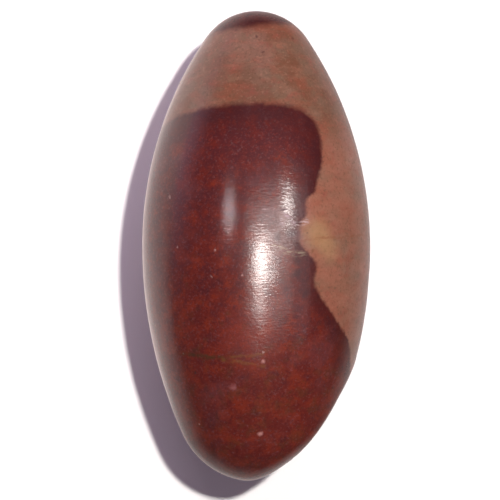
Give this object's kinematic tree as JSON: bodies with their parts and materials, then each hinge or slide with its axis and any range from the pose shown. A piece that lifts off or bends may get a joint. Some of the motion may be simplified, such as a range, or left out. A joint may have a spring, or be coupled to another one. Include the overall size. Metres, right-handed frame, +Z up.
{
  "type": "shiva lingam",
  "caption": "Egg-shaped polished jasper river stone lying on its side, red ground with a tan patch, two flats ground on the lower end, for an altar.",
  "frame": {"origin": "centre of the stone's plan box, on the surface it lies on", "axes": "+Y along the long axis towards the end with the dark cap, +Z up from the rest flat, +X towards the side with the tan patch and the ground flats"},
  "size_m": [0.0436, 0.09, 0.0406],
  "materials": {
    "stone": "hand polished jasper, dark brick red with a tan patch, soft gloss"
  },
  "bodies": {
    "root": {"lingam_stone": "stone"}
  },
  "joints": []
}
